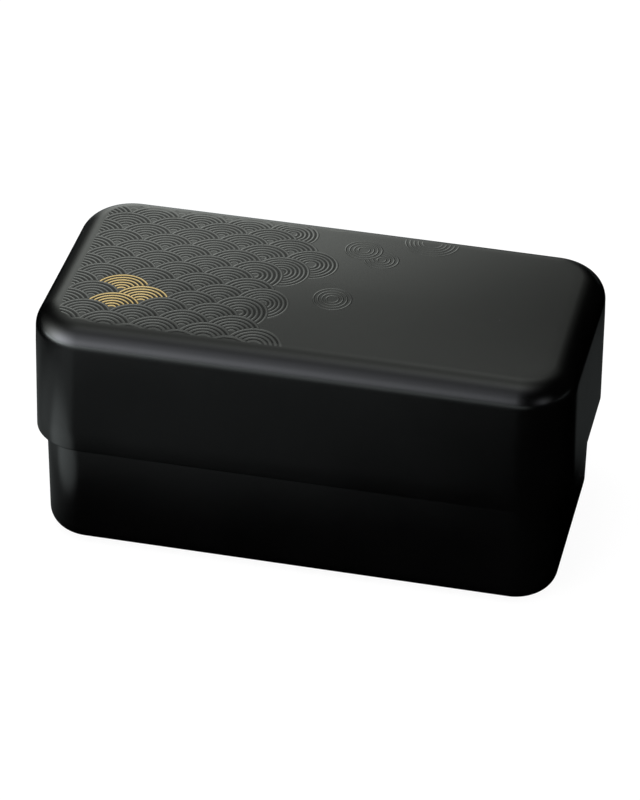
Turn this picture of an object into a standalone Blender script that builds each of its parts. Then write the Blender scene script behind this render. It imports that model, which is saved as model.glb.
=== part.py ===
# Two-tier bento box with a deep outer lid.
# Metres, +Z up. The origin is the centre of the footprint, on the table; X runs along the length.
# From the table up: lower tier, its inner lid with a sealing ring, upper tier with a divider, its inner
# lid with a sealing ring, and the outer lid, which covers everything down to the lower tier's waist.
# Every outline is a rounded rectangle, drawn at an inset from the outer lid's outline at its foot.

import math

import bmesh
import bpy
from mathutils import Vector

# Outer lid; its height follows from the tiers that it covers
LID_LENGTH = 0.180
LID_WIDTH = 0.089
LID_CORNER_RADIUS = 0.0182
LID_EDGE_RADIUS = 0.0081
LID_WALL = 0.0025
CROWN_HEIGHT = 0.00185
SKIRT_OVERLAP = 0.0065
RIM_ROUND = 0.0006
BEAD_DROP = 0.0022
BEAD_WIDTH = 0.0016
BEAD_CLEARANCE = 0.0005

# Tiers
LOWER_TIER_HEIGHT = 0.0460
UPPER_TIER_HEIGHT = 0.0307
TIER_GAP = 0.00075
TIER_WALL = 0.0022
TIER_EDGE_RADIUS = 0.0069
TIER_FLOOR = 0.0030
FOOT_RING_WIDTH = 0.0040
FOOT_RECESS_DEPTH = 0.0008

# Inner lids and their sealing rings
PLATE_THICKNESS = 0.0018
PLATE_STEP = 0.0010
PLATE_ROUND = 0.0004
PANEL_CLEARANCE = 0.0005
PLUG_DEPTH = 0.0055
PLUG_CLEARANCE = 0.0008
PLUG_WALL = 0.0030
SEAL_RADIUS = 0.0009

# Divider of the upper tier
DIVIDER_PLACE = 0.028
DIVIDER_FLANGE = 0.012
DIVIDER_THICKNESS = 0.0014
DIVIDER_CLEARANCE = 0.0004
DIVIDER_TOP_GAP = 0.0025

# Clearances and shares
SEAT_GAP = 0.0003
CUT_OVERRUN = 0.002
LEAST_RADIUS = 0.0005
DRAFT_SHARE = 0.011
CROWN_LENGTH_POWER_SHARE = 2.0
CROWN_WIDTH_POWER_SHARE = 1.8
CROWN_RING_SHARES = (0.9, 0.78, 0.65, 0.5, 0.34, 0.17)

# Facets
CORNER_STEPS = 8
EDGE_STEPS = 6
LONG_SIDE_STEPS = 8
SHORT_SIDE_STEPS = 4
SEAL_SIDES_RESOLUTION = 2

# Derived heights, up the stack
LOWER_RIM = LOWER_TIER_HEIGHT
SKIRT_FOOT_HEIGHT = LOWER_RIM - SKIRT_OVERLAP
LOWER_PLATE = LOWER_RIM + SEAT_GAP
UPPER_FOOT = LOWER_PLATE + PLATE_THICKNESS + SEAT_GAP
UPPER_RIM = UPPER_FOOT + UPPER_TIER_HEIGHT
UPPER_PLATE = UPPER_RIM + SEAT_GAP
CEILING = UPPER_PLATE + PLATE_THICKNESS + SEAT_GAP + BEAD_DROP
LID_EDGE_HEIGHT = CEILING + LID_WALL
PANEL_HEIGHT = FOOT_RECESS_DEPTH - SEAT_GAP
DIVIDER_TOP = UPPER_RIM - PLUG_DEPTH - DIVIDER_TOP_GAP

# Derived insets from the outer lid's outline at its foot
LOWER_TIER_INSET = LID_WALL + TIER_GAP
UPPER_TIER_INSET = LOWER_TIER_INSET + DRAFT_SHARE * (UPPER_RIM - SKIRT_FOOT_HEIGHT)

BLACK_LACQUER = ("black_lacquer", (0.012, 0.012, 0.013), 0.32)
BLACK_MOULDING = ("black_moulding", (0.016, 0.016, 0.017), 0.45)
SOFT_LID = ("soft_inner_lid", (0.045, 0.045, 0.047), 0.50)
GREY_SILICONE = ("grey_silicone", (0.30, 0.31, 0.32), 0.60)


# Scene and materials
def clear_scene():
    for obj in list(bpy.data.objects):
        bpy.data.objects.remove(obj)


def new_collection(name):
    collection = bpy.data.collections.new(name)
    bpy.context.scene.collection.children.link(collection)
    return collection


def principled(name, finish):
    label, colour, roughness = finish
    material = bpy.data.materials.new(f"{name}_{label}")
    material.use_nodes = True
    shader = material.node_tree.nodes["Principled BSDF"]
    shader.inputs["Base Color"].default_value = (*colour, 1.0)
    shader.inputs["Roughness"].default_value = roughness
    shader.inputs["Metallic"].default_value = 0.0
    return material


def add_object(name, data, collection):
    obj = bpy.data.objects.new(name, data)
    collection.objects.link(obj)
    return obj


def add_part(name, bm, finish):
    mesh = bpy.data.meshes.new(name)
    bmesh.ops.recalc_face_normals(bm, faces=bm.faces)
    bm.to_mesh(mesh)
    bm.free()
    mesh.materials.append(principled(name, finish))
    return add_object(name, mesh, PARTS)


def add_cutter(name, bm):
    mesh = bpy.data.meshes.new(name)
    bmesh.ops.recalc_face_normals(bm, faces=bm.faces)
    bm.to_mesh(mesh)
    bm.free()
    return hide_helper(add_object(name, mesh, CUTTERS))


def hide_helper(obj):
    obj.hide_render = True
    obj.display_type = "WIRE"
    return obj


# Modifiers
def boolean(obj, other, operation):
    modifier = obj.modifiers.new(f"{operation.lower()}_{other.name}", "BOOLEAN")
    modifier.object = other
    modifier.operation = operation
    modifier.solver = "EXACT"
    return modifier


def shell(obj, thickness):
    modifier = obj.modifiers.new("wall", "SOLIDIFY")
    modifier.thickness = thickness
    modifier.offset = -1.0
    modifier.use_even_offset = True
    return modifier


def round_edges(obj, width):
    modifier = obj.modifiers.new("rounded_edges", "BEVEL")
    modifier.width = width
    modifier.segments = 2
    modifier.limit_method = "ANGLE"
    modifier.angle_limit = math.radians(50.0)
    return modifier


def shade_round(obj):
    obj.data.shade_smooth()
    obj.data.set_sharp_from_angle(angle=math.radians(35.0))


# Outlines
def half_sizes(inset):
    return LID_LENGTH / 2 - inset, LID_WIDTH / 2 - inset


def corner_radius(inset):
    return max(LID_CORNER_RADIUS - inset, LEAST_RADIUS)


def lid_inset(height):
    """Inset of the outer lid's outside, which narrows towards the top."""
    return DRAFT_SHARE * (height - SKIRT_FOOT_HEIGHT)


def tier_inset(rim_inset, rim, height):
    """Inset of a tier's outside, which narrows towards the foot."""
    return rim_inset + DRAFT_SHARE * (rim - height)


# A prism or tapered block: a cube whose upright edges, and then whose foot edges, are bevelled
def rounded_block(bottom, top, inset_bottom, inset_top, foot_radius=0.0):
    bm = bmesh.new()
    bmesh.ops.create_cube(bm, size=2.0)
    for vert in bm.verts:
        inset = inset_top if vert.co.z > 0.0 else inset_bottom
        half_x, half_y = half_sizes(inset)
        height = top if vert.co.z > 0.0 else bottom
        vert.co = Vector((vert.co.x * half_x, vert.co.y * half_y, height))
    middle = (bottom + top) / 2
    upright = [e for e in bm.edges if (e.verts[0].co.z - middle) * (e.verts[1].co.z - middle) < 0.0]
    bmesh.ops.bevel(
        bm,
        geom=upright,
        offset=corner_radius((inset_bottom + inset_top) / 2),
        offset_type="OFFSET",
        segments=CORNER_STEPS,
        profile=0.5,
        affect="EDGES",
        clamp_overlap=False,
    )
    if foot_radius > 0.0:
        foot = [e for e in bm.edges if max(v.co.z for v in e.verts) < middle]
        bmesh.ops.bevel(
            bm,
            geom=foot,
            offset=foot_radius,
            offset_type="OFFSET",
            segments=EDGE_STEPS,
            profile=0.5,
            affect="EDGES",
            clamp_overlap=False,
        )
    return bm


def plain_box(x_range, y_range, z_range):
    bm = bmesh.new()
    bmesh.ops.create_cube(bm, size=1.0)
    for vert in bm.verts:
        for axis, ends in enumerate((x_range, y_range, z_range)):
            vert.co[axis] = ends[1] if vert.co[axis] > 0.0 else ends[0]
    return bm


def ring_cutter(name, bottom, top, outer_inset, inner_inset):
    """A frame-shaped cutter, such as a groove or a bead, between two outlines."""
    cutter = add_cutter(name, rounded_block(bottom, top, outer_inset, outer_inset))
    core = add_cutter(
        f"{name}_core",
        rounded_block(bottom - CUT_OVERRUN, top + CUT_OVERRUN, inner_inset, inner_inset),
    )
    boolean(cutter, core, "DIFFERENCE")
    return cutter


# Outer lid: a loft of shrinking outlines up the skirt, over the soft edge and in over the crown
def outline_points(inset):
    """Points and outward normals round a rounded rectangle, with its straight sides divided."""
    half_x, half_y = half_sizes(inset)
    radius = corner_radius(inset)
    points = []
    corners = ((1, 1), (-1, 1), (-1, -1), (1, -1))
    for index, (side_x, side_y) in enumerate(corners):
        centre = Vector((side_x * (half_x - radius), side_y * (half_y - radius), 0.0))
        for step in range(CORNER_STEPS + 1):
            angle = math.pi / 2 * (index + step / CORNER_STEPS)
            normal = Vector((math.cos(angle), math.sin(angle), 0.0))
            points.append((centre + radius * normal, normal))
        next_x, next_y = corners[(index + 1) % 4]
        next_centre = Vector((next_x * (half_x - radius), next_y * (half_y - radius), 0.0))
        steps = LONG_SIDE_STEPS if index % 2 == 0 else SHORT_SIDE_STEPS
        start, normal = points[-1]
        end = next_centre + radius * normal
        for step in range(1, steps):
            points.append((start.lerp(end, step / steps), normal))
    return points


CROWN_INSET = lid_inset(LID_EDGE_HEIGHT) + LID_EDGE_RADIUS


def crown(x, y):
    """Height of the crowned top over its edge, zero along the four sides of the top."""
    half_x, half_y = half_sizes(CROWN_INSET)
    along = max(1.0 - (abs(x) / half_x) ** CROWN_LENGTH_POWER_SHARE, 0.0)
    across = max(1.0 - (abs(y) / half_y) ** CROWN_WIDTH_POWER_SHARE, 0.0)
    return CROWN_HEIGHT * along * across


def crown_slope(point, normal):
    """Slope of the crown towards the outside, where the soft edge takes over from it."""
    half_x, half_y = half_sizes(CROWN_INSET)
    share_x = min(abs(point.x) / half_x, 1.0)
    share_y = min(abs(point.y) / half_y, 1.0)
    power_x, power_y = CROWN_LENGTH_POWER_SHARE, CROWN_WIDTH_POWER_SHARE
    fall_x = power_x * share_x ** (power_x - 1.0) / half_x * (1.0 - share_y**power_y)
    fall_y = power_y * share_y ** (power_y - 1.0) / half_y * (1.0 - share_x**power_x)
    return CROWN_HEIGHT * (fall_x * abs(normal.x) + fall_y * abs(normal.y))


def lid_sections():
    """Closed rows of points from the skirt's foot up to the innermost outline of the crown."""
    foot = [point + Vector((0.0, 0.0, SKIRT_FOOT_HEIGHT)) for point, normal in outline_points(0.0)]
    sections = [foot]
    inner = outline_points(CROWN_INSET)
    slopes = [math.atan(crown_slope(point, normal)) for point, normal in inner]
    for step in range(EDGE_STEPS + 1):
        share = step / EDGE_STEPS
        row = []
        for (point, normal), slope in zip(inner, slopes):
            angle = (1.0 - share) * math.pi / 2 + share * slope
            radius = LID_EDGE_RADIUS / (1.0 - math.sin(slope))
            outward = radius * (math.sin(angle) - math.sin(slope))
            drop = radius * (math.cos(slope) - math.cos(angle))
            height = LID_EDGE_HEIGHT - drop + crown(point.x, point.y)
            row.append(point + outward * normal + Vector((0.0, 0.0, height)))
        sections.append(row)
    for share in CROWN_RING_SHARES:
        row = []
        for point, normal in inner:
            x, y = point.x * share, point.y * share
            row.append(Vector((x, y, LID_EDGE_HEIGHT + crown(x, y))))
        sections.append(row)
    return sections


def make_outer_lid():
    bm = bmesh.new()
    rows = [[bm.verts.new(point) for point in section] for section in lid_sections()]
    for low, high in zip(rows, rows[1:]):
        for index in range(len(low)):
            following = (index + 1) % len(low)
            bm.faces.new((low[index], low[following], high[following], high[index]))
    peak = bm.verts.new((0.0, 0.0, LID_EDGE_HEIGHT + CROWN_HEIGHT))
    for index in range(len(rows[-1])):
        bm.faces.new((rows[-1][index], rows[-1][(index + 1) % len(rows[-1])], peak))
    lid = add_part("outer_lid", bm, BLACK_LACQUER)
    shell(lid, LID_WALL)
    round_edges(lid, RIM_ROUND)
    bead_inset = panel_inset() - BEAD_CLEARANCE
    bead = ring_cutter(
        "lid_bead",
        CEILING - BEAD_DROP,
        LID_EDGE_HEIGHT - LID_WALL / 2,
        bead_inset - BEAD_WIDTH,
        bead_inset,
    )
    boolean(lid, bead, "UNION")
    shade_round(lid)
    return lid


# Tiers
def foot_recess_inset(rim_inset, rim, foot):
    return tier_inset(rim_inset, rim, foot) + TIER_EDGE_RADIUS + FOOT_RING_WIDTH


def panel_inset():
    """Outline of the raised panel of an inner lid, which sits in the upper tier's foot recess."""
    return foot_recess_inset(UPPER_TIER_INSET, UPPER_RIM, UPPER_FOOT) + PANEL_CLEARANCE


def tier_block(rim_inset, rim, foot, wall, floor):
    """The outside of a tier, or its cavity when a wall and a floor are given."""
    return rounded_block(
        foot + floor,
        rim,
        tier_inset(rim_inset, rim, foot + floor) + wall,
        rim_inset + wall,
        max(TIER_EDGE_RADIUS - wall, LEAST_RADIUS),
    )


def make_tier(name, rim_inset, rim, foot):
    tier = add_part(name, tier_block(rim_inset, rim, foot, 0.0, 0.0), BLACK_LACQUER)
    # The cavity runs past the rim, on the same draft.
    cavity = add_cutter(
        f"{name}_cavity",
        tier_block(
            rim_inset - DRAFT_SHARE * CUT_OVERRUN,
            rim + CUT_OVERRUN,
            foot,
            TIER_WALL,
            TIER_FLOOR,
        ),
    )
    recess_inset = foot_recess_inset(rim_inset, rim, foot)
    recess = add_cutter(
        f"{name}_foot_recess",
        rounded_block(foot - CUT_OVERRUN, foot + FOOT_RECESS_DEPTH, recess_inset, recess_inset),
    )
    boolean(tier, cavity, "DIFFERENCE")
    boolean(tier, recess, "DIFFERENCE")
    round_edges(tier, RIM_ROUND)
    shade_round(tier)
    return tier


# Inner lids and sealing rings
def plug_insets(rim_inset, rim):
    """Insets of the tier's inner wall at the plug's foot, and of the plug's outer and inner faces."""
    wall = tier_inset(rim_inset, rim, rim - PLUG_DEPTH) + TIER_WALL
    return wall, wall + PLUG_CLEARANCE, wall + PLUG_CLEARANCE + PLUG_WALL


def make_inner_lid(name, rim_inset, rim):
    plate_foot = rim + SEAT_GAP
    plate_inset = rim_inset + PLATE_STEP
    wall, plug_outer, plug_inner = plug_insets(rim_inset, rim)
    plug_foot = rim - PLUG_DEPTH
    lid = add_part(
        name,
        rounded_block(plate_foot, plate_foot + PLATE_THICKNESS, plate_inset, plate_inset),
        SOFT_LID,
    )
    plug = ring_cutter(f"{name}_plug", plug_foot, plate_foot + PLATE_THICKNESS / 2, plug_outer, plug_inner)
    boolean(lid, plug, "UNION")
    panel = add_cutter(
        f"{name}_panel",
        rounded_block(
            plate_foot + PLATE_THICKNESS / 2,
            plate_foot + PLATE_THICKNESS + PANEL_HEIGHT,
            panel_inset(),
            panel_inset(),
        ),
    )
    boolean(lid, panel, "UNION")
    groove_half = SEAL_RADIUS + SEAT_GAP
    groove_inset = seal_inset(rim_inset, rim) + groove_half
    groove = ring_cutter(
        f"{name}_groove",
        seal_height(rim) - groove_half,
        seal_height(rim) + groove_half,
        wall,
        groove_inset,
    )
    boolean(lid, groove, "DIFFERENCE")
    round_edges(lid, PLATE_ROUND)
    shade_round(lid)
    return lid


def seal_inset(rim_inset, rim):
    """Inset of the ring's centre line, so that the ring lies on the tier's inner wall."""
    return plug_insets(rim_inset, rim)[0] + SEAT_GAP + SEAL_RADIUS


def seal_height(rim):
    return rim - PLUG_DEPTH / 2


def make_seal(name, rim_inset, rim):
    inset = seal_inset(rim_inset, rim)
    half_x, half_y = half_sizes(inset)
    radius = corner_radius(inset)
    route = []
    for index, (side_x, side_y) in enumerate(((1, 1), (-1, 1), (-1, -1), (1, -1))):
        for step in range(CORNER_STEPS + 1):
            angle = math.pi / 2 * (index + step / CORNER_STEPS)
            x = side_x * (half_x - radius) + radius * math.cos(angle)
            y = side_y * (half_y - radius) + radius * math.sin(angle)
            route.append((x, y))
    curve = bpy.data.curves.new(name, "CURVE")
    curve.dimensions = "3D"
    curve.bevel_depth = SEAL_RADIUS
    curve.bevel_resolution = SEAL_SIDES_RESOLUTION
    spline = curve.splines.new("POLY")
    spline.points.add(len(route) - 1)
    for point, (x, y) in zip(spline.points, route):
        point.co = (x, y, 0.0, 1.0)
    spline.use_cyclic_u = True
    spline.use_smooth = True
    curve.materials.append(principled(name, GREY_SILICONE))
    seal = add_object(name, curve, PARTS)
    seal.location.z = seal_height(rim)
    return seal


# Divider: a web with a foot and two side flanges that follow the upper tier's walls
def divider_form(name, clearance):
    """The upper tier's cavity, smaller by a clearance on every side, and running past the rim."""
    return add_cutter(
        name,
        tier_block(
            UPPER_TIER_INSET - DRAFT_SHARE * CUT_OVERRUN,
            UPPER_RIM + CUT_OVERRUN,
            UPPER_FOOT,
            TIER_WALL + clearance,
            TIER_FLOOR + clearance,
        ),
    )


def make_divider():
    foot = UPPER_FOOT
    half_y = LID_WIDTH / 2
    low, high = DIVIDER_PLACE - DIVIDER_FLANGE / 2, DIVIDER_PLACE + DIVIDER_FLANGE / 2
    divider = add_part(
        "divider",
        plain_box((low, high), (-half_y, half_y), (foot, DIVIDER_TOP)),
        BLACK_MOULDING,
    )
    boolean(divider, divider_form("divider_outside", DIVIDER_CLEARANCE), "INTERSECT")
    pockets = divider_form("divider_pockets", DIVIDER_CLEARANCE + DIVIDER_THICKNESS)
    web = add_cutter(
        "divider_web",
        plain_box(
            (DIVIDER_PLACE - DIVIDER_THICKNESS / 2, DIVIDER_PLACE + DIVIDER_THICKNESS / 2),
            (-half_y, half_y),
            (foot, UPPER_RIM + LID_WIDTH),
        ),
    )
    boolean(pockets, web, "DIFFERENCE")
    boolean(divider, pockets, "DIFFERENCE")
    shade_round(divider)
    return divider


# Assembly: each piece that lifts off carries what stands on it
def put_origin(obj, place):
    """Moves the origin to the place on the joint's axis and leaves the shape where it is."""
    offset = Vector(place)
    for vert in obj.data.vertices:
        vert.co -= offset
    obj.location = offset


def carry(parent, obj):
    bpy.context.view_layer.update()
    obj.parent = parent
    obj.matrix_parent_inverse = parent.matrix_world.inverted()


clear_scene()
PARTS = new_collection("bento_box")
CUTTERS = new_collection("bento_box_cutters")

outer_lid = make_outer_lid()
lower_tier = make_tier("lower_tier", LOWER_TIER_INSET, LOWER_RIM, 0.0)
upper_tier = make_tier("upper_tier", UPPER_TIER_INSET, UPPER_RIM, UPPER_FOOT)
lower_inner_lid = make_inner_lid("lower_inner_lid", LOWER_TIER_INSET, LOWER_RIM)
upper_inner_lid = make_inner_lid("upper_inner_lid", UPPER_TIER_INSET, UPPER_RIM)
lower_seal = make_seal("lower_seal", LOWER_TIER_INSET, LOWER_RIM)
upper_seal = make_seal("upper_seal", UPPER_TIER_INSET, UPPER_RIM)
divider = make_divider()

put_origin(outer_lid, (0.0, 0.0, SKIRT_FOOT_HEIGHT))
put_origin(upper_inner_lid, (0.0, 0.0, UPPER_PLATE))
put_origin(upper_tier, (0.0, 0.0, UPPER_FOOT))
put_origin(lower_inner_lid, (0.0, 0.0, LOWER_PLATE))
put_origin(divider, (DIVIDER_PLACE, 0.0, UPPER_FOOT + TIER_FLOOR))

carry(lower_tier, lower_inner_lid)
carry(lower_inner_lid, lower_seal)
carry(lower_inner_lid, upper_tier)
carry(upper_tier, divider)
carry(upper_tier, upper_inner_lid)
carry(upper_inner_lid, upper_seal)
carry(upper_inner_lid, outer_lid)
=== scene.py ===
# Looks of the two-tier bento box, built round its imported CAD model.
# Metres, +Z up, in the frame of the CAD: the footprint's centre is the origin and X is the length.

import math

import bmesh
import bpy
from mathutils import Matrix, Vector


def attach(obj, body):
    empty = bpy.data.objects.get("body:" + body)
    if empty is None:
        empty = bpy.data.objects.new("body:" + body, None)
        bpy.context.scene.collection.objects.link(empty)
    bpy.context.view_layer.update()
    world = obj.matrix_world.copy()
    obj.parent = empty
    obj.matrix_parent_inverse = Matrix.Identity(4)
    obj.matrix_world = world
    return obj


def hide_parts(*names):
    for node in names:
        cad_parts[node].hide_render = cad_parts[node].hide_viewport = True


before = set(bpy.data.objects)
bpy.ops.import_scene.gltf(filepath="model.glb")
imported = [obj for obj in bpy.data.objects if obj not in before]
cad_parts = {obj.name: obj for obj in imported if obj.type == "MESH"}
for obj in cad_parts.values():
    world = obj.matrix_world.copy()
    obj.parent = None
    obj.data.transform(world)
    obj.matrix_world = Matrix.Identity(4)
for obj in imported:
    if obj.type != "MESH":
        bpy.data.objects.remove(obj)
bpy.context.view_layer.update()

# Sizes of the CAD model, repeated here because its source can't be read
LID_LENGTH = 0.180
LID_WIDTH = 0.089
LID_CORNER_RADIUS = 0.0182
LID_EDGE_RADIUS = 0.0081
LID_WALL = 0.0025
CROWN_HEIGHT = 0.00185
SKIRT_OVERLAP = 0.0065
RIM_ROUND = 0.0006
BEAD_DROP = 0.0022
BEAD_WIDTH = 0.0016
BEAD_CLEARANCE = 0.0005
LOWER_TIER_HEIGHT = 0.0460
UPPER_TIER_HEIGHT = 0.0307
TIER_GAP = 0.00075
TIER_WALL = 0.0022
TIER_EDGE_RADIUS = 0.0069
TIER_FLOOR = 0.0030
FOOT_RING_WIDTH = 0.0040
FOOT_RECESS_DEPTH = 0.0008
PLATE_THICKNESS = 0.0018
PLATE_STEP = 0.0010
PLATE_ROUND = 0.0004
PANEL_CLEARANCE = 0.0005
PLUG_DEPTH = 0.0055
PLUG_CLEARANCE = 0.0008
PLUG_WALL = 0.0030
SEAL_RADIUS = 0.0009
SEAT_GAP = 0.0003
LEAST_RADIUS = 0.0005
DRAFT = 0.011
CROWN_POWER_X = 2.0
CROWN_POWER_Y = 1.8

# Shapes that the CAD leaves out: how far the crown's long edges are bowed up at their middle, the
# round of the bead, and the lips of the seals: how deep the seals are cut in between them, as a
# share of the seal's radius, and how many there are in half a turn of its section
EDGE_BOW = 0.00045
BEAD_ROUND = 0.0003
LIP_DEPTH = 0.16
LIP_TURNS = 3.0

LOWER_RIM = LOWER_TIER_HEIGHT
SKIRT_FOOT = LOWER_RIM - SKIRT_OVERLAP
LOWER_PLATE = LOWER_RIM + SEAT_GAP
UPPER_FOOT = LOWER_PLATE + PLATE_THICKNESS + SEAT_GAP
UPPER_RIM = UPPER_FOOT + UPPER_TIER_HEIGHT
UPPER_PLATE = UPPER_RIM + SEAT_GAP
CEILING = UPPER_PLATE + PLATE_THICKNESS + SEAT_GAP + BEAD_DROP
LID_EDGE = CEILING + LID_WALL
LOWER_INSET = LID_WALL + TIER_GAP
UPPER_INSET = LOWER_INSET + DRAFT * (UPPER_RIM - SKIRT_FOOT)

# Facets of the fine meshes
CORNER_STEPS = 28
LONG_SIDE_STEPS = 36
SHORT_SIDE_STEPS = 16
EDGE_STEPS = 20
WALL_STEPS = 5
CROWN_RINGS = 26
SEAL_SIDES = 24
# Steps of a quarter round; a round of more than this radius has more of them
ROUND_STEPS = 4
SMALL_ROUND = 0.0008
SHARP_ANGLE = 40.0
# The flat middle of a floor, recess or panel begins this far inside its edge
FLAT_START = 4 * LEAST_RADIUS
# Rings that are drawn in towards the middle of a flat, as shares of its size
IN_TO_MIDDLE = (0.75, 0.5, 0.25)
OUT_FROM_MIDDLE = (0.25, 0.5, 0.75)


# ---------------------------------------------------------------- outlines and the crowned top
def half_sizes(inset):
    return LID_LENGTH / 2 - inset, LID_WIDTH / 2 - inset


def corner_radius(inset):
    return max(LID_CORNER_RADIUS - inset, LEAST_RADIUS)


def lid_inset(height):
    return DRAFT * (height - SKIRT_FOOT)


def tier_inset(rim_inset, rim, height):
    return rim_inset + DRAFT * (rim - height)


def recess_inset(rim_inset, rim, foot):
    """Inset of the recess inside a tier's foot ring."""
    return tier_inset(rim_inset, rim, foot) + TIER_EDGE_RADIUS + FOOT_RING_WIDTH


# The raised panel is the same on both inner lids: the upper tier's recess goes over the lower one,
# and the outer lid's bead goes round the upper one
PANEL_INSET = recess_inset(UPPER_INSET, UPPER_RIM, UPPER_FOOT) + PANEL_CLEARANCE


def outline(inset):
    """Points and outward normals round a rounded rectangle at an inset from the lid's outline."""
    half_x, half_y = half_sizes(inset)
    radius = corner_radius(inset)
    places = []
    corners = ((1, 1), (-1, 1), (-1, -1), (1, -1))
    for index, (side_x, side_y) in enumerate(corners):
        centre = Vector((side_x * (half_x - radius), side_y * (half_y - radius), 0.0))
        for step in range(CORNER_STEPS + 1):
            angle = math.pi / 2 * (index + step / CORNER_STEPS)
            normal = Vector((math.cos(angle), math.sin(angle), 0.0))
            places.append((centre + radius * normal, normal))
        next_x, next_y = corners[(index + 1) % 4]
        next_centre = Vector((next_x * (half_x - radius), next_y * (half_y - radius), 0.0))
        steps = LONG_SIDE_STEPS if index % 2 == 0 else SHORT_SIDE_STEPS
        start, normal = places[-1]
        end = next_centre + radius * normal
        places += [(start.lerp(end, step / steps), normal) for step in range(1, steps)]
    return places


CROWN_INSET = lid_inset(LID_EDGE) + LID_EDGE_RADIUS
CROWN_X, CROWN_Y = half_sizes(CROWN_INSET)
CROWN_CORNER = corner_radius(CROWN_INSET)


def crown(x, y):
    """Height of the crown, whose long edges are bowed up a little at their middle."""
    along = max(1.0 - (abs(x) / CROWN_X) ** CROWN_POWER_X, 0.0)
    across = max(1.0 - (abs(y) / CROWN_Y) ** CROWN_POWER_Y, 0.0)
    return along * (EDGE_BOW + (CROWN_HEIGHT - EDGE_BOW) * across)


def crown_slope(point, normal):
    """How steeply the crown falls along an outward normal."""
    share_x = min(abs(point.x) / CROWN_X, 1.0)
    share_y = min(abs(point.y) / CROWN_Y, 1.0)
    dome = CROWN_HEIGHT - EDGE_BOW
    height_x = EDGE_BOW + dome * (1.0 - share_y**CROWN_POWER_Y)
    fall_x = CROWN_POWER_X * share_x ** (CROWN_POWER_X - 1.0) / CROWN_X * height_x
    fall_y = CROWN_POWER_Y * share_y ** (CROWN_POWER_Y - 1.0) / CROWN_Y
    fall_y = fall_y * (1.0 - share_x**CROWN_POWER_X) * dome
    return fall_x * abs(normal.x) + fall_y * abs(normal.y)


def soft_edge(point, normal, edge_radius, share):
    """Outward reach and drop of the soft edge, from the crown's slope (share 1) to upright (0)."""
    slope = math.atan(crown_slope(point, normal))
    angle = (1.0 - share) * math.pi / 2 + share * slope
    radius = edge_radius / (1.0 - math.sin(slope))
    outward = radius * (math.sin(angle) - math.sin(slope))
    fall = radius * (math.cos(slope) - math.cos(angle))
    return outward, fall


def top_height(x, y):
    """Height of the lid's outside over a point of its top or of its soft edge."""
    over_x = abs(x) - (CROWN_X - CROWN_CORNER)
    over_y = abs(y) - (CROWN_Y - CROWN_CORNER)
    if over_x > 0.0 and over_y > 0.0:
        length = math.hypot(over_x, over_y)
        normal = Vector((over_x / length, over_y / length, 0.0))
    else:
        length = max(over_x, over_y)
        normal = Vector((1.0, 0.0, 0.0)) if over_x > over_y else Vector((0.0, 1.0, 0.0))
    outside = length - CROWN_CORNER
    if outside <= 0.0:
        return LID_EDGE + crown(x, y)
    foot = Vector((abs(x), abs(y), 0.0)) - outside * normal
    slope = math.atan(crown_slope(foot, normal))
    radius = LID_EDGE_RADIUS / (1.0 - math.sin(slope))
    angle = math.asin(min(outside / radius + math.sin(slope), 1.0))
    return LID_EDGE - radius * (math.cos(slope) - math.cos(angle)) + crown(foot.x, foot.y)


# ---------------------------------------------------------------- meshes
def add_piece(name, bm, material, body):
    bmesh.ops.recalc_face_normals(bm, faces=bm.faces)
    mesh = bpy.data.meshes.new(name)
    bm.to_mesh(mesh)
    bm.free()
    mesh.materials.append(material)
    mesh.shade_smooth()
    mesh.set_sharp_from_angle(angle=math.radians(SHARP_ANGLE))
    piece = bpy.data.objects.new(name, mesh)
    bpy.context.scene.collection.objects.link(piece)
    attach(piece, body)
    return piece


def bridge(bm, low, high):
    for index in range(len(low)):
        following = (index + 1) % len(low)
        bm.faces.new((low[index], low[following], high[following], high[index]))


def bridge_round(bm, rows):
    """Bridges each row to the next one, and the last one to the first."""
    for low, high in zip(rows, rows[1:] + rows[:1]):
        bridge(bm, low, high)


def close_with_point(bm, ring, point):
    middle = bm.verts.new(point)
    for index in range(len(ring)):
        bm.faces.new((ring[index], ring[(index + 1) % len(ring)], middle))


def swept_solid(rings, ends=None):
    """A closed solid from rings of points. The first and the last ring are closed by a point each,
    which is the ring's own middle if the ends aren't given."""
    bm = bmesh.new()
    rows = [[bm.verts.new(point) for point in ring] for ring in rings]
    for low, high in zip(rows, rows[1:]):
        bridge(bm, low, high)
    outer_rows = (rows[0], rows[-1])
    if ends is None:
        ends = [sum((vert.co for vert in row), Vector()) / len(row) for row in outer_rows]
    for row, end in zip(outer_rows, ends):
        close_with_point(bm, row, end)
    return bm


def flat_ring(inset, height):
    return [point + Vector((0.0, 0.0, height)) for point, _ in outline(inset)]


def shrunk_ring(inset, height, share):
    return [Vector((point.x * share, point.y * share, height)) for point, _ in outline(inset)]


def filleted(path):
    """A path of (inset, height, radius) with each corner rounded, as (inset, height) pairs."""
    out = []
    for index, (inset, height, radius) in enumerate(path):
        here = Vector((inset, height))
        if radius <= 0.0 or index in (0, len(path) - 1):
            out.append(here)
            continue
        before = (Vector(path[index - 1][:2]) - here).normalized()
        after = (Vector(path[index + 1][:2]) - here).normalized()
        half = before.angle(after) / 2
        reach = radius / math.tan(half)
        middle = here + (before + after).normalized() * (radius / math.sin(half))
        start, end = here + before * reach - middle, here + after * reach - middle
        turn = math.atan2(start.cross(end), start.dot(end))
        growth = max(1.0, (radius / SMALL_ROUND) ** 0.5)
        steps = max(2, round(ROUND_STEPS * abs(turn) / (math.pi / 2) * growth))
        for step in range(steps + 1):
            spin = Matrix.Rotation(turn * step / steps, 2)
            out.append(middle + spin @ start)
    return out


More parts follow.
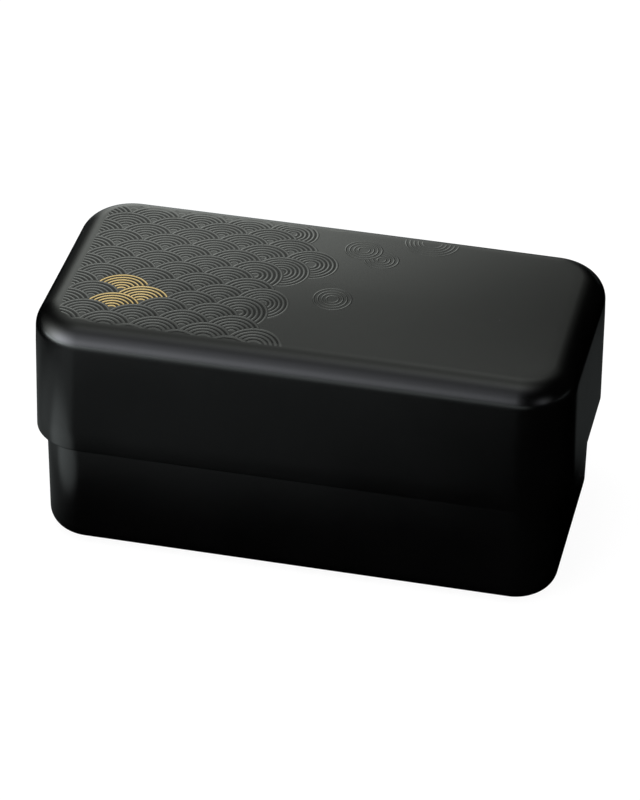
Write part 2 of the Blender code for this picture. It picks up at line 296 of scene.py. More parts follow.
def path_rings(path, first_shares=(), last_shares=()):
    """Rings of a profile of (inset, height), with rings drawn in towards the middle at its ends."""
    rings = [shrunk_ring(path[0].x, path[0].y, share) for share in first_shares]
    rings += [flat_ring(place.x, place.y) for place in path]
    rings += [shrunk_ring(path[-1].x, path[-1].y, share) for share in last_shares]
    return rings


# ---------------------------------------------------------------- materials
# Scale per metre and detail of the soft variation and of the fine one
CLOUD_SCALE, CLOUD_DETAIL = 38.0, 3.0
FINE_SCALE, FINE_DETAIL = 900.0, 2.0
NOISE_ROUGHNESS = 0.55
# Nearly all of a noise lies between these
NOISE_LOW, NOISE_HIGH = 0.3, 0.7
# The fine variation adds up to this much to the roughness, or takes it away
FINE_ROUGHNESS = 0.02
# Dust: cells per metre, a speck's inner and outer radius in cells, which cells have one, and colour
DUST_SCALE = 150.0
DUST_RADII = (0.012, 0.028)
DUST_CHOICE = (0.93, 0.97)
DUST_COLOUR = (0.45, 0.45, 0.44)


def new_material(name):
    material = bpy.data.materials.new(name)
    material.use_nodes = True
    return material, material.node_tree


def node(tree, kind, inputs=None, **settings):
    """A new node; an input is set to a value or linked to another node's output."""
    made = tree.nodes.new(kind)
    for key, value in settings.items():
        setattr(made, key, value)
    for key, value in (inputs or {}).items():
        if isinstance(value, bpy.types.NodeSocket):
            tree.links.new(value, made.inputs[key])
        else:
            made.inputs[key].default_value = value
    return made


def math_node(tree, operation, *values):
    return node(tree, "ShaderNodeMath", dict(enumerate(values)), operation=operation).outputs[0]


def vector_node(tree, operation, *values):
    made = node(tree, "ShaderNodeVectorMath", dict(enumerate(values)), operation=operation)
    return made.outputs["Value" if operation == "DOT_PRODUCT" else "Vector"]


def noise(tree, place, scale, detail):
    inputs = {"Vector": place, "Scale": scale, "Detail": detail, "Roughness": NOISE_ROUGHNESS}
    return node(tree, "ShaderNodeTexNoise", inputs).outputs["Fac"]


def spread(tree, value, low, high, from_low=NOISE_LOW, from_high=NOISE_HIGH):
    """The value, which varies over the surface, brought to a range."""
    inputs = {"Value": value, "From Min": from_low, "From Max": from_high}
    inputs.update({"To Min": low, "To Max": high})
    return node(tree, "ShaderNodeMapRange", inputs).outputs["Result"]


def blend_colours(tree, share, first, second):
    mixed = node(tree, "ShaderNodeMix", data_type="RGBA")
    tree.links.new(share, mixed.inputs[0])
    for socket, colour in ((mixed.inputs[6], first), (mixed.inputs[7], second)):
        if isinstance(colour, bpy.types.NodeSocket):
            tree.links.new(colour, socket)
        else:
            socket.default_value = (*colour, 1.0)
    return mixed.outputs[2]


def dusty(tree, place, colour, dust):
    """The colour with sparse specks over it, which are opaque at dust 1."""
    inputs = {"Vector": place, "Scale": DUST_SCALE, "Randomness": 1.0}
    cells = node(tree, "ShaderNodeTexVoronoi", inputs).outputs
    near = spread(tree, cells["Distance"], 1.0, 0.0, *DUST_RADII)
    choice = node(tree, "ShaderNodeSeparateColor", {"Color": cells["Color"]}).outputs["Red"]
    speck = math_node(tree, "MULTIPLY", near, spread(tree, choice, 0.0, 1.0, *DUST_CHOICE))
    return blend_colours(tree, math_node(tree, "MULTIPLY", speck, dust), colour, DUST_COLOUR)


def surface(name, colours, roughness, grain, specular=0.5, metallic=0.0, dust=0.0):
    """A moulded or lacquered surface: colour and roughness vary softly, with a fine grain and dust.

    The grain is a list of (scale per metre, height in metres).
    """
    material, tree = new_material(name)
    shader = tree.nodes["Principled BSDF"]
    place = node(tree, "ShaderNodeTexCoord").outputs["Object"]
    cloud = noise(tree, place, CLOUD_SCALE, CLOUD_DETAIL)
    fine = noise(tree, place, FINE_SCALE, FINE_DETAIL)
    colour = blend_colours(tree, spread(tree, cloud, 0.0, 1.0), *colours)
    change = spread(tree, fine, -FINE_ROUGHNESS, FINE_ROUGHNESS)
    rough = math_node(tree, "ADD", spread(tree, cloud, *roughness), change)
    if dust > 0.0:
        colour = dusty(tree, place, colour, dust)
    tree.links.new(colour, shader.inputs["Base Color"])
    tree.links.new(rough, shader.inputs["Roughness"])
    shader.inputs["Specular IOR Level"].default_value = specular
    shader.inputs["Metallic"].default_value = metallic
    bump = {"Strength": 1.0}
    for scale, height in grain:
        bump.update({"Height": noise(tree, place, scale, FINE_DETAIL), "Distance": height})
        bump["Normal"] = node(tree, "ShaderNodeBump", bump).outputs["Normal"]
    tree.links.new(bump["Normal"], shader.inputs["Normal"])
    return material


LACQUER_COLOURS = ((0.0006, 0.0006, 0.0006), (0.0011, 0.0011, 0.0011))
LACQUER = surface(
    "satin_black_lacquer",
    LACQUER_COLOURS,
    (0.205, 0.235),
    ((4200.0, 0.0000022), (420.0, 0.000004)),
    specular=0.47,
    dust=0.5,
)
# The raised lines are real relief, but their lacquer reflects more than the top around it (a higher
# specular level): a painted sheen that lightens their crests
SHEEN_LINE_LACQUER = surface(
    "raised_lines_painted_sheen",
    LACQUER_COLOURS,
    (0.20, 0.23),
    ((4200.0, 0.0000020), (420.0, 0.000003)),
    specular=0.85,
    dust=0.5,
)
# Strips of this lacquer lie in the grooves between a fan's lines and reflect little: painted shade
# that darkens the valleys
GROOVE_SHADE_LACQUER = surface(
    "groove_painted_shade",
    LACQUER_COLOURS,
    (0.30, 0.36),
    ((4200.0, 0.0000020),),
    specular=0.15,
    dust=0.5,
)
GOLD = surface(
    "satin_gold_print",
    ((0.62, 0.43, 0.16), (0.78, 0.58, 0.28)),
    (0.19, 0.27),
    ((5200.0, 0.000006),),
    metallic=0.85,
)
SOFT_PLASTIC = surface(
    "soft_charcoal_plastic",
    ((0.020, 0.020, 0.021), (0.027, 0.027, 0.028)),
    (0.46, 0.54),
    ((3000.0, 0.000012),),
    specular=0.45,
    dust=0.3,
)
SILICONE = surface(
    "grey_silicone",
    ((0.27, 0.28, 0.29), (0.33, 0.34, 0.35)),
    (0.58, 0.68),
    ((2600.0, 0.000010),),
    specular=0.4,
    dust=0.3,
)
DIVIDER_PLASTIC = surface(
    "semi_matt_black_plastic",
    ((0.007, 0.007, 0.0075), (0.011, 0.011, 0.0115)),
    (0.40, 0.48),
    ((3000.0, 0.000010),),
    specular=0.45,
    dust=0.3,
)


# ---------------------------------------------------------------- outer lid
def crown_ring(share, drop=0.0):
    ring = []
    for point, _ in outline(CROWN_INSET):
        x, y = point.x * share, point.y * share
        ring.append(Vector((x, y, LID_EDGE - drop + crown(x, y))))
    return ring


def edge_ring(share, edge_radius, drop):
    """One ring of the soft edge, outside, or inside when the wall is taken off."""
    ring = []
    for point, normal in outline(CROWN_INSET):
        outward, fall = soft_edge(point, normal, edge_radius, share)
        height = LID_EDGE - drop - fall + crown(point.x, point.y)
        ring.append(point + outward * normal + Vector((0.0, 0.0, height)))
    return ring


def ceiling_ring(inset):
    ceiling = LID_EDGE - LID_WALL
    return [Vector((p.x, p.y, ceiling + crown(p.x, p.y))) for p, _ in outline(inset)]


def make_lid():
    bead_in = PANEL_INSET - BEAD_CLEARANCE
    bead_out = bead_in - BEAD_WIDTH
    bead_foot = CEILING - BEAD_DROP
    bead = filleted(
        [
            (bead_in, CEILING, 0.0),
            (bead_in, bead_foot, BEAD_ROUND),
            (bead_out, bead_foot, BEAD_ROUND),
            (bead_out, CEILING, 0.0),
        ]
    )[1:-1]
    shares = [step / CROWN_RINGS for step in range(1, CROWN_RINGS)]
    inside_x = half_sizes(bead_in)[0] - LID_WALL
    rings = [crown_ring(share, LID_WALL) for share in shares[::2] if share * CROWN_X < inside_x]
    rings.append(ceiling_ring(bead_in))
    rings += path_rings(bead)
    rings += [ceiling_ring(bead_out), ceiling_ring((bead_out + CROWN_INSET) / 2)]
    edge_shares = [step / EDGE_STEPS for step in range(EDGE_STEPS + 1)]
    inner_radius = LID_EDGE_RADIUS - LID_WALL
    rings += [edge_ring(1.0 - share, inner_radius, LID_WALL) for share in edge_shares]
    wall_top = LID_EDGE - LID_EDGE_RADIUS
    wall_foot = SKIRT_FOOT + LID_EDGE_RADIUS
    levels = [
        wall_foot + (wall_top - wall_foot) * step / WALL_STEPS for step in range(1, WALL_STEPS)
    ]
    rim = filleted(
        [
            (LID_WALL + lid_inset(wall_foot), wall_foot, 0.0),
            (LID_WALL, SKIRT_FOOT, RIM_ROUND),
            (0.0, SKIRT_FOOT, RIM_ROUND),
            (lid_inset(wall_foot), wall_foot, 0.0),
        ]
    )
    rings += [flat_ring(LID_WALL + lid_inset(level), level) for level in reversed(levels)]
    rings += path_rings(rim)
    rings += [flat_ring(lid_inset(level), level) for level in levels]
    rings += [edge_ring(share, LID_EDGE_RADIUS, 0.0) for share in edge_shares]
    rings += [crown_ring(share) for share in reversed(shares)]
    ends = [(0.0, 0.0, height + CROWN_HEIGHT) for height in (LID_EDGE - LID_WALL, LID_EDGE)]
    bm = swept_solid(rings, ends)
    lid = add_piece("lid_shell", bm, LACQUER, "outer_lid")
    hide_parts("outer_lid")


# ---------------------------------------------------------------- tiers, inner lids and seals
def make_tier(name, node_name, rim_inset, rim, foot):
    recess = recess_inset(rim_inset, rim, foot)
    recess_top = foot + FOOT_RECESS_DEPTH
    floor = foot + TIER_FLOOR
    inside_radius = TIER_EDGE_RADIUS - TIER_WALL
    path = filleted(
        [
            (recess + FLAT_START, recess_top, 0.0),
            (recess, recess_top, LEAST_RADIUS / 2),
            (recess, foot, LEAST_RADIUS / 2),
            (tier_inset(rim_inset, rim, foot), foot, TIER_EDGE_RADIUS),
            (rim_inset, rim, RIM_ROUND),
            (rim_inset + TIER_WALL, rim, RIM_ROUND),
            (tier_inset(rim_inset, rim, floor) + TIER_WALL, floor, inside_radius),
            (recess + FLAT_START, floor, 0.0),
        ]
    )
    bm = swept_solid(path_rings(path, OUT_FROM_MIDDLE, IN_TO_MIDDLE))
    tier = add_piece(name, bm, LACQUER, node_name)
    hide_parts(node_name)


def plug_insets(rim_inset, rim):
    """Insets of the tier's wall at the plug's foot, and of the plug's outside and inside."""
    wall = tier_inset(rim_inset, rim, rim - PLUG_DEPTH) + TIER_WALL
    return wall, wall + PLUG_CLEARANCE, wall + PLUG_CLEARANCE + PLUG_WALL


def make_inner_lid(name, node_name, rim_inset, rim):
    low = rim + SEAT_GAP
    top = low + PLATE_THICKNESS
    plate = rim_inset + PLATE_STEP
    wall, plug_out, plug_in = plug_insets(rim_inset, rim)
    plug_foot = rim - PLUG_DEPTH
    seal_middle = rim - PLUG_DEPTH / 2
    groove_half = SEAL_RADIUS + SEAT_GAP
    groove = wall + SEAT_GAP + SEAL_RADIUS + groove_half
    raised = top + FOOT_RECESS_DEPTH - SEAT_GAP
    small = PLATE_ROUND / 2
    path = filleted(
        [
            (PANEL_INSET, low, 0.0),
            (plug_in, low, small),
            (plug_in, plug_foot, PLATE_ROUND),
            (plug_out, plug_foot, PLATE_ROUND),
            (plug_out, seal_middle - groove_half, small),
            (groove, seal_middle - groove_half, small),
            (groove, seal_middle + groove_half, small),
            (plug_out, seal_middle + groove_half, small),
            (plug_out, low, small),
            (plate, low, PLATE_ROUND),
            (plate, top, PLATE_ROUND),
            (PANEL_INSET, top, small),
            (PANEL_INSET, raised, small),
            (PANEL_INSET + FLAT_START, raised, 0.0),
        ]
    )
    bm = swept_solid(path_rings(path, OUT_FROM_MIDDLE, IN_TO_MIDDLE))
    lid = add_piece(name, bm, SOFT_PLASTIC, node_name)
    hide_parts(node_name)


def make_seal(name, node_name, body, rim_inset, rim):
    """A sealing ring with soft lips, two of them towards the wall, within the CAD's round ring."""
    wall = plug_insets(rim_inset, rim)[0]
    middle_inset = wall + SEAT_GAP + SEAL_RADIUS
    middle_height = rim - PLUG_DEPTH / 2
    bm = bmesh.new()
    rows = []
    for side in range(SEAL_SIDES):
        angle = 2 * math.pi * side / SEAL_SIDES
        lip = 1.0 - LIP_DEPTH * math.cos(LIP_TURNS * angle) ** 2
        inset = middle_inset - SEAL_RADIUS * lip * math.cos(angle)
        height = middle_height + SEAL_RADIUS * lip * math.sin(angle)
        rows.append([bm.verts.new(point) for point in flat_ring(inset, height)])
    bridge_round(bm, rows)
    seal = add_piece(name, bm, SILICONE, body)
    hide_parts(node_name)


# ---------------------------------------------------------------- raised wave pattern on the top
# The even grid of the fans: its steps, its origin and its turn in radians
FAN_PITCH_X = 0.008273
FAN_PITCH_Y = 0.005623
FAN_ORIGIN = (-0.06413, -0.01713)
FAN_TURN = 0.009
# Radius of the circle that hides the fans behind, of the outer line, which stands off the others,
# and of the next one, then the step from one line to the next
FAN_COVER = 0.00946
FAN_RIM_RADIUS = 0.00890
FAN_RADIUS, FAN_PITCH = 0.00732, 0.00153
LINE_HALF_WIDTH = 0.00050
LINE_HEIGHT, ODD_LINE_HEIGHT = 0.00007, 0.00006
GOLD_LINE_HEIGHT, RIPPLE_LINE_HEIGHT = 0.00010, 0.00009
# How deep the feet of a line's section lie in the top, and how deep its two lowest corners do
LINE_SINK = 0.000010
LINE_ROOT = 0.00025
GOLD_RADIUS, GOLD_PITCH, GOLD_HALF_WIDTH = 0.00896, 0.00148, 0.00038
# How far the strips of painted shade in the grooves stand over the top, and how far they reach
# under the lines beside them
GROOVE_LIFT = 0.00002
GROOVE_OVERLAP = 0.00003
# Gold fans: their column and row, and how far each strays from its place
GOLD_FANS = {(0, 0): (0.00045, -0.00010), (1, 1): (0.00010, -0.00025), (0, 2): (0.0, -0.00010)}
# Last fan of each row, from the row at the back to the row at the front
LAST_FANS = {-9: 5, -8: 6, -7: 5, -6: 6, -5: 7, -4: 6, -3: 5, -2: 4}
LAST_FANS.update({-1: 5, 0: 6, 1: 5, 2: 4, 3: 5, 4: 6, 5: 5})
FIRST_FAN = -3
# Fans that end the pattern as whole rounds stray a little: (x, y, outer radius)
ODD_FANS = {
    (6, 0): (-0.0167, -0.0158, 0.0084),
    (6, -8): (-0.0167, 0.0298, 0.0082),
    (7, -5): (-0.0066, 0.0110, 0.0088),
    (6, -4): (-0.0150, 0.0043, 0.0090),
}
ODD_HALF_WIDTH = 0.00046
# Rounds on the plain half: (x, y, outer radius, number of lines)
RIPPLES = (
    (0.0153, 0.0202, 0.0056, 4),
    (0.0083, 0.0252, 0.0061, 4),
    (0.0049, -0.0081, 0.0062, 4),
    (0.0294, 0.0361, 0.0089, 5),
    (-0.0027, 0.0410, 0.0052, 2),
)
ROUND_PITCH = 0.0014
ROUND_BORDER = 0.0007
RIPPLE_HALF_WIDTH = 0.00036
# A figure's rank is (row, column), and this row stands for the rounds on the plain half
RIPPLE_ROW = 100
MOST_LINES = 9
# A line is left out if its radius isn't more than this many half widths
LEAST_LINE = 1.2
PATTERN_LEFT, PATTERN_FRONT, PATTERN_BACK = -0.0808, -0.0375, 0.0366
PATTERN_CORNER = 0.0085
# The lines sink into the top near the back and front borders: over these distances, to this share
# of their height
BACK_FADE = 0.005
FRONT_FADE = 0.004
LEAST_SHARE = 0.3
# Half of a line's section, from its foot to its crest: (share of half width, share of height)
LINE_SECTION = ((1.0, 0.0), (0.85, 0.28), (0.68, 0.54), (0.5, 0.75), (0.3, 0.91), (0.0, 1.0))
GROOVE_SECTION = ((1.0, 1.0), (0.0, 1.0))
# Length of a step along a line, and the fewest steps of a stretch and of a whole round
STEP_LENGTH = 0.0006
LEAST_STEPS = 3
LEAST_ROUND_STEPS = 24
# The shown stretches of a line: samples round it, the shortest stretch that is kept, and the step
# and the number of halvings with which its ends are found
SAMPLES = 180
LEAST_STRETCH = 0.0006
SEARCH_STEP = math.radians(1.0)
HALVINGS = 12
# A line's end is cut square where it would be drawn out over more than this many half widths
SQUARE_END = 6.0


def in_pattern(x, y):
    """Whether a point is inside the pattern's border, which has rounded corners on the left."""
    if not (x > PATTERN_LEFT and PATTERN_FRONT < y < PATTERN_BACK):
        return False
    over_x = PATTERN_LEFT + PATTERN_CORNER - x
    over_y = max(y - (PATTERN_BACK - PATTERN_CORNER), PATTERN_FRONT + PATTERN_CORNER - y)
    return over_x <= 0.0 or over_y <= 0.0 or math.hypot(over_x, over_y) < PATTERN_CORNER


def lines_of(x, y, radius, pitch, half_width, count=MOST_LINES):
    """The lines of a fan or round as (x, y, radius, half width), from its outer one."""
    radii = [radius - pitch * index for index in range(count)]
    return [(x, y, radius, half_width) for radius in radii if radius > half_width * LEAST_LINE]


def fan_place(column, row):
    x, y = FAN_PITCH_X * column, -FAN_PITCH_Y * row
    turn_cos, turn_sin = math.cos(FAN_TURN), math.sin(FAN_TURN)
    return FAN_ORIGIN[0] + x * turn_cos - y * turn_sin, FAN_ORIGIN[1] + x * turn_sin + y * turn_cos


def fan(column, row):
    """A fan: its rank, its lines, its cover circle and whether it is gold."""
    rank = (row, column)
    if (column, row) in ODD_FANS:
        x, y, radius = ODD_FANS[column, row]
        lines = lines_of(x, y, radius, ROUND_PITCH, ODD_HALF_WIDTH)
        return rank, lines, (x, y, radius + ROUND_BORDER), False
    x, y = fan_place(column, row)
    if (column, row) in GOLD_FANS:
        stray = GOLD_FANS[column, row]
        x, y = x + stray[0], y + stray[1]
        lines = lines_of(x, y, GOLD_RADIUS, GOLD_PITCH, GOLD_HALF_WIDTH)
        return rank, lines, (x, y, FAN_COVER), True
    lines = [(x, y, FAN_RIM_RADIUS, LINE_HALF_WIDTH)]
    lines += lines_of(x, y, FAN_RADIUS, FAN_PITCH, LINE_HALF_WIDTH)
    return rank, lines, (x, y, FAN_COVER), False


def figures():
    """Every fan, at each second place of the grid, and every round on the plain half."""
    found = []
    for row, last in LAST_FANS.items():
        columns = [column for column in range(FIRST_FAN, last + 1) if (column + row) % 2 == 0]
        found += [fan(column, row) for column in columns]
    for index, (x, y, radius, count) in enumerate(RIPPLES):
        lines = lines_of(x, y, radius, ROUND_PITCH, RIPPLE_HALF_WIDTH, count)
        found.append(((RIPPLE_ROW, index), lines, (x, y, radius + ROUND_BORDER), False))
    return found


def covers_of(rank, cover, every):
    """Cover circles of the figures that lie over this one and reach it."""
    found = []
    for other_rank, _, circle, _ in every:
        # The rounds on the plain half cover only each other
        if other_rank > rank and (other_rank[0] < RIPPLE_ROW or rank[0] == RIPPLE_ROW):
            if math.hypot(circle[0] - cover[0], circle[1] - cover[1]) < circle[2] + cover[2]:
                found.append(circle)
    return found


def shown(place, circles):
    x, y = place
    return in_pattern(x, y) and all(math.hypot(x - cx, y - cy) > r for cx, cy, r in circles)


def around(line, radius, angle):
    return line[0] + radius * math.cos(angle), line[1] + radius * math.sin(angle)


def run_end(line, radius, start, step, circles):
    """The angle at which a line stops being shown, going from start in steps."""
    angle = start
    while abs(angle - start) < 2 * math.pi:
        following = angle + step
        if not shown(around(line, radius, following), circles):
            low, high = angle, following
            for _ in range(HALVINGS):
                middle = (low + high) / 2
                if shown(around(line, radius, middle), circles):
                    low = middle
                else:
                    high = middle
            return low
        angle = following
    return None


def runs_of(line, circles):
    """Middle angles of the stretches of a line that are shown; None for one that is whole."""
    radius = line[2]
    angles = [2 * math.pi * index / SAMPLES for index in range(SAMPLES)]
    seen = [shown(around(line, radius, angle), circles) for angle in angles]
    if all(seen):
        return [None]
    runs = []
    for start in range(SAMPLES):
        if seen[start - 1] or not seen[start]:
            continue
        length = 0
        while seen[(start + length) % SAMPLES]:
            length += 1
        if length * 2 * math.pi / SAMPLES * radius > LEAST_STRETCH:
            runs.append(2 * math.pi * (start + (length - 1) / 2) / SAMPLES)
    return runs


def line_share(y):
    """Share of the lines' height at a distance across the top."""
    inside = min((PATTERN_BACK - y) / BACK_FADE, (y - PATTERN_FRONT) / FRONT_FADE)
    inside = min(max(inside, 0.0), 1.0)
    return LEAST_SHARE + (1.0 - LEAST_SHARE) * inside * inside * (3.0 - 2.0 * inside)


def line_point(line, radius, angle, lift):
    x, y = around(line, radius, angle)
    return Vector((x, y, top_height(x, y) + line_share(y) * lift - LINE_SINK))


def section_points(section, half_width, height):
    """A line's section as (offset, lift), ending with its two feet under the surface."""
    points = [(-offset * half_width, share * height) for offset, share in section]
    points += [(offset * half_width, share * height) for offset, share in reversed(section[:-1])]
    return points + [(half_width, -LINE_ROOT), (-half_width, -LINE_ROOT)]


def line_ends(line, middle, circles, section):
    """First and last angle of each point of a section on a stretch; None if some are hidden."""
    ends = []
    for offset, _ in section:
        radius = line[2] + offset
        if not shown(around(line, radius, middle), circles):
            return None
        steps = (-SEARCH_STEP, SEARCH_STEP)
        ends.append(tuple(run_end(line, radius, middle, step, circles) for step in steps))
    if any(None in pair for pair in ends):
        return None
    lows, highs = zip(*ends)
    drawn_out = max(max(lows) - min(lows), max(highs) - min(highs)) * line[2]
    if drawn_out > SQUARE_END * line[3]:
        ends = [(max(lows), min(highs))] * len(section)
    return ends if ends[0][0] < ends[0][1] else None


def line_row(bm, line, angles, section):
    """A row of points across a line, each at its own angle."""
    row = []
    for (offset, lift), angle in zip(section, angles):
        row.append(bm.verts.new(line_point(line, line[2] + offset, angle, lift)))
    return row


def add_line(bm, line, circles, section):
    """One raised line, as closed bars that stop where a figure in front covers them."""
    for middle in runs_of(line, circles):
        if middle is None:
            count = max(LEAST_ROUND_STEPS, round(2 * math.pi * line[2] / STEP_LENGTH))
            angles = [2 * math.pi * index / count for index in range(count)]
            rows = [line_row(bm, line, [angle] * len(section), section) for angle in angles]
            bridge_round(bm, rows)
            continue
        ends = line_ends(line, middle, circles, section)
        if ends is None:
            continue
        length = max(high - low for low, high in ends) * line[2]
        count = max(LEAST_STEPS, round(length / STEP_LENGTH))
        rows = []
        for index in range(count + 1):
            angles = [low + (high - low) * (index / count) for low, high in ends]
            rows.append(line_row(bm, line, angles, section))
        for low_row, high_row in zip(rows, rows[1:]):
            bridge(bm, low_row, high_row)
        bm.faces.new(rows[0])
        bm.faces.new(tuple(reversed(rows[-1])))


def grooves_of(lines):
    """Strips of painted shade in the grooves between the lines of a fan, as (x, y, radius, half
    width).
    """
    strips = []
    for (x, y, outer, outer_half), (_, _, inner, inner_half) in zip(lines, lines[1:]):
        top = outer - outer_half + GROOVE_OVERLAP
        foot = inner + inner_half - GROOVE_OVERLAP
        strips.append((x, y, (top + foot) / 2, (top - foot) / 2))
    return strips


def line_height(rank, is_gold):
    row, column = rank
    if is_gold:
        return GOLD_LINE_HEIGHT
    if row == RIPPLE_ROW:
        return RIPPLE_LINE_HEIGHT
    return ODD_LINE_HEIGHT if (column, row) in ODD_FANS else LINE_HEIGHT


def make_pattern():
    every = figures()
    black, gold, grooves = bmesh.new(), bmesh.new(), bmesh.new()
    for rank, lines, cover, is_gold in every:
        circles = covers_of(rank, cover, every)
        for line in lines:
            section = section_points(LINE_SECTION, line[3], line_height(rank, is_gold))
            add_line(gold if is_gold else black, line, circles, section)
        if rank[0] == RIPPLE_ROW:
            continue
        # Strips of painted shade in the grooves between a fan's lines; the rounds on the plain half
        # have none
        for strip in grooves_of(lines):
            section = section_points(GROOVE_SECTION, strip[3], GROOVE_LIFT)
            add_line(grooves, strip, circles, section)
    # The black raised lines carry a painted sheen
    add_piece("wave_pattern", black, SHEEN_LINE_LACQUER, "outer_lid")
    add_piece("gold_waves", gold, GOLD, "outer_lid")
    # The strips in the grooves carry painted shade
    add_piece("wave_groove_painted_shade", grooves, GROOVE_SHADE_LACQUER, "outer_lid")


make_lid()
make_pattern()
make_tier("lower_tier_shell", "lower_tier", LOWER_INSET, LOWER_RIM, 0.0)
make_tier("upper_tier_shell", "upper_tier", UPPER_INSET, UPPER_RIM, UPPER_FOOT)
make_inner_lid("lower_sealing_lid", "lower_inner_lid", LOWER_INSET, LOWER_RIM)
make_inner_lid("upper_sealing_lid", "upper_inner_lid", UPPER_INSET, UPPER_RIM)
make_seal("lower_seal_ring", "lower_seal", "lower_inner_lid", LOWER_INSET, LOWER_RIM)
make_seal("upper_seal_ring", "upper_seal", "upper_inner_lid", UPPER_INSET, UPPER_RIM)

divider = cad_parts["divider"]
divider.data.materials.clear()
divider.data.materials.append(DIVIDER_PLASTIC)


# ---------------------------------------------------------------- camera
CAMERA_PLACE = Vector((0.22723, -1.06106, 0.76451))
CAMERA_RIGHT = Vector((0.97559, 0.21912, 0.01450))
CAMERA_UP = Vector((-0.13317, 0.53785, 0.83245))
CAMERA_BACK = Vector((0.17461, -0.81407, 0.55390))

camera_data = bpy.data.cameras.new("camera")
camera_data.sensor_width = 36.0
camera_data.lens = 176.0
camera_data.clip_start = 0.05
camera_data.clip_end = 60.0
camera = bpy.data.objects.new("camera", camera_data)
bpy.context.scene.collection.objects.link(camera)
turn = Matrix((CAMERA_RIGHT, CAMERA_UP, CAMERA_BACK)).transposed()
camera.matrix_world = Matrix.Translation(CAMERA_PLACE) @ turn.to_4x4()
bpy.context.scene.camera = camera


# ---------------------------------------------------------------- floor, background and light
# The world's level as light on the object, and as seen
WORLD_LIGHT, WORLD_SEEN = 0.45, 1.0
# The floor's grey as it lights the object. As seen, it is its own glow and a fainter grey, which
# lets the shadow show
FLOOR_GREY = 0.80
FLOOR_SEEN_GREY, FLOOR_GLOW = 0.16, 0.93
FLOOR_RADIUS = 14.0
# The floor lies just under the box, and the table of the reflections lies just over the floor
FLOOR_DROP, TABLE_DROP = 0.0003, 0.0002
STAGE_SIDES = 96
# The studio is dark apart from softboxes that only reflections see. Each has its level, its degrees
# round from the back towards the right, its degrees up and its width in degrees.
TENT_RADIUS = 3.0
TENT_ROWS = 48
TENT_FOOT = -0.001
SOFTBOXES = (
    (1.07, -18, 2, 7),
    (0.95, -18, 14, 7),
    (1.64, -19.5, 25, 7.2),
    (1.05, -19, 58, 14),
    (1.25, -152, 78, 13.5),
    (0.76, -159, 41, 10.5),
    (1.75, -161, 13, 11),
    (8.30, -129, 6, 18.5),
    (0.80, 130, 10, 9),
)
# The tent's tint changes from front to back over this range of Y
TENT_FRONT_TINT = (0.955, 0.985, 1.06)
TENT_BACK_TINT = (0.985, 1.035, 0.975)
TINT_FRONT, TINT_BACK = -2.0, 0.0
# Pools of light on the dark table, for reflections too: level, x, y, and how far along x and y they
# fall to half
POOLS = (
    (0.72, -0.129, -0.077, 0.033, 0.030),
    (0.12, -0.156, -0.016, 0.066, 0.077),
    (0.065, -0.035, -0.178, 0.100, 0.097),
    (0.08, -0.083, -0.163, 0.104, 0.068),
    (0.22, -0.161, -0.121, 0.046, 0.106),
    (4.00, -0.72, -0.39, 0.27, 0.325),
    (0.30, -0.62, -1.06, 0.39, 0.29),
    (1.00, -0.32, -0.67, 0.60, 0.42),
    (3.80, -1.11, -0.93, 0.87, 0.87),
    (0.04, 0.08, 0.10, 0.065, 0.055),
    (0.55, 1.90, 0.10, 0.80, 0.60),
    (0.35, 0.40, 2.00, 0.50, 0.60),
)
# A streak of light on the table behind the box: level, degrees round, degrees up, width in degrees
STREAK = (0.6, -19, 0, 9)
TABLE_TINT = (0.94, 1.03, 1.03)


def grey(level):
    return (level, level, level, 1.0)


def seen_white(tree):
    """1 for rays from the camera, off a mirror or through glass."""
    path = node(tree, "ShaderNodeLightPath").outputs
    seen = math_node(tree, "MAXIMUM", path["Is Camera Ray"], path["Is Glossy Ray"])
    return math_node(tree, "MAXIMUM", seen, path["Is Transmission Ray"])


def set_surface(tree, shader):
    """Puts a shader in the place of the one that a new material has."""
    tree.nodes.remove(tree.nodes["Principled BSDF"])
    tree.links.new(shader.outputs[0], tree.nodes["Material Output"].inputs["Surface"])


def stage_mesh(name, bm, material):
    mesh = bpy.data.meshes.new(name)
    bm.to_mesh(mesh)
    bm.free()
    mesh.materials.append(material)
    made = bpy.data.objects.new(name, mesh)
    bpy.context.scene.collection.objects.link(made)
    return made


def stage_circle(name, radius, drop, material):
    bm = bmesh.new()
    bmesh.ops.create_circle(bm, cap_ends=True, radius=radius, segments=STAGE_SIDES)
    bmesh.ops.translate(bm, verts=bm.verts, vec=(0.0, 0.0, -drop))
    return stage_mesh(name, bm, material)


def make_floor():
    material, tree = new_material("white_floor")
    plain = node(tree, "ShaderNodeBsdfDiffuse", {"Color": grey(FLOOR_GREY)})
    faint = node(tree, "ShaderNodeBsdfDiffuse", {"Color": grey(FLOOR_SEEN_GREY)})
    glow = node(tree, "ShaderNodeEmission", {"Color": grey(1.0), "Strength": FLOOR_GLOW})
    white = node(tree, "ShaderNodeAddShader", {0: faint.outputs[0], 1: glow.outputs[0]})
    choice = {0: seen_white(tree), 1: plain.outputs[0], 2: white.outputs[0]}
    set_surface(tree, node(tree, "ShaderNodeMixShader", choice))
    stage_circle("floor", FLOOR_RADIUS, FLOOR_DROP, material)


def make_world():
    world = bpy.data.worlds.new("white_studio")
    bpy.context.scene.world = world
    world.use_nodes = True
    tree = world.node_tree
    background = tree.nodes["Background"]
    background.inputs["Color"].default_value = grey(1.0)
    strength = spread(tree, seen_white(tree), WORLD_LIGHT, WORLD_SEEN, 0.0, 1.0)
    tree.links.new(strength, background.inputs["Strength"])


def seen_in_reflections(made):
    """A stage piece that lights the glossy surfaces only, as the softboxes of a dark studio do."""
    made.visible_camera = False
    made.visible_diffuse = False
    made.visible_transmission = False
    made.visible_volume_scatter = False
    made.visible_shadow = False


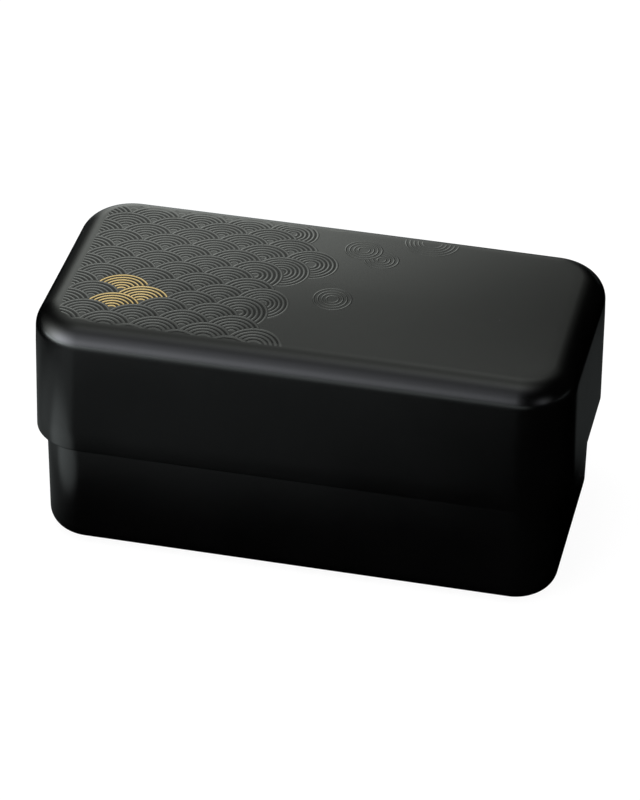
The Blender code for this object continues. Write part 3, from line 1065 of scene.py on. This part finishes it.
def emitter(name, make_level, back_tint, front_tint):
    material, tree = new_material(name)
    place = node(tree, "ShaderNodeTexCoord").outputs["Object"]
    depth = node(tree, "ShaderNodeSeparateXYZ", {"Vector": place}).outputs["Y"]
    share = spread(tree, depth, 0.0, 1.0, TINT_FRONT, TINT_BACK)
    tint = blend_colours(tree, share, front_tint, back_tint)
    glow = {"Color": tint, "Strength": make_level(tree, place)}
    set_surface(tree, node(tree, "ShaderNodeEmission", glow))
    return material


def add_softbox(tree, direction, total, level, azimuth, height, width):
    """The total with a round soft spot of light added, in a direction from the origin."""
    azimuth, height = math.radians(azimuth), math.radians(height)
    across = math.cos(height)
    middle = (across * math.sin(azimuth), across * math.cos(azimuth), math.sin(height))
    sharpness = math.radians(width) ** -2
    near = vector_node(tree, "DOT_PRODUCT", direction, middle)
    share = math_node(tree, "MULTIPLY_ADD", near, sharpness, -sharpness)
    return math_node(tree, "MULTIPLY_ADD", math_node(tree, "EXPONENT", share), level, total)


def softbox_level(tree, place):
    direction = vector_node(tree, "NORMALIZE", place)
    total = 0.0
    for softbox in SOFTBOXES:
        total = add_softbox(tree, direction, total, *softbox)
    return total


def pool_level(tree, place):
    total = add_softbox(tree, vector_node(tree, "NORMALIZE", place), 0.0, *STREAK)
    for level, x, y, width_x, width_y in POOLS:
        away = vector_node(tree, "SUBTRACT", place, (x, y, 0.0))
        scaled = vector_node(tree, "MULTIPLY", away, (1 / width_x, 1 / width_y, 0.0))
        square = vector_node(tree, "DOT_PRODUCT", scaled, scaled)
        fourth = math_node(tree, "MULTIPLY", square, square)
        eighth = math_node(tree, "MULTIPLY", fourth, fourth)
        share = math_node(tree, "EXPONENT", math_node(tree, "MULTIPLY", eighth, -math.log(2.0)))
        total = math_node(tree, "MULTIPLY_ADD", share, level, total)
    return total


def make_tent():
    bm = bmesh.new()
    sides = {"u_segments": STAGE_SIDES, "v_segments": TENT_ROWS}
    bmesh.ops.create_uvsphere(bm, radius=TENT_RADIUS, **sides)
    low = [vert for vert in bm.verts if vert.co.z < TENT_FOOT]
    bmesh.ops.delete(bm, geom=low, context="VERTS")
    softboxes = emitter("softboxes", softbox_level, TENT_BACK_TINT, TENT_FRONT_TINT)
    seen_in_reflections(stage_mesh("tent", bm, softboxes))
    pools = emitter("pools_of_light", pool_level, TABLE_TINT, TABLE_TINT)
    seen_in_reflections(stage_circle("table", TENT_RADIUS, TABLE_DROP, pools))


def area_lamp(name, place, target, size, power):
    data = bpy.data.lights.new(name, "AREA")
    data.shape = "RECTANGLE"
    data.size, data.size_y = size
    data.energy = power
    lamp = bpy.data.objects.new(name, data)
    bpy.context.scene.collection.objects.link(lamp)
    lamp.location = place
    lamp.rotation_mode = "QUATERNION"
    lamp.rotation_quaternion = (Vector(target) - Vector(place)).to_track_quat("-Z", "Y")
    lamp.visible_glossy = False


make_floor()
make_world()
make_tent()
area_lamp("key", (-0.95, -1.15, 0.35), (-0.05, 0.0, 0.05), size=(1.5, 0.85), power=12.0)
area_lamp("overhead", (-0.2, -0.15, 1.35), (0.0, 0.0, 0.0), size=(0.9, 0.35), power=6.0)

bpy.context.scene.view_settings.view_transform = "Standard"
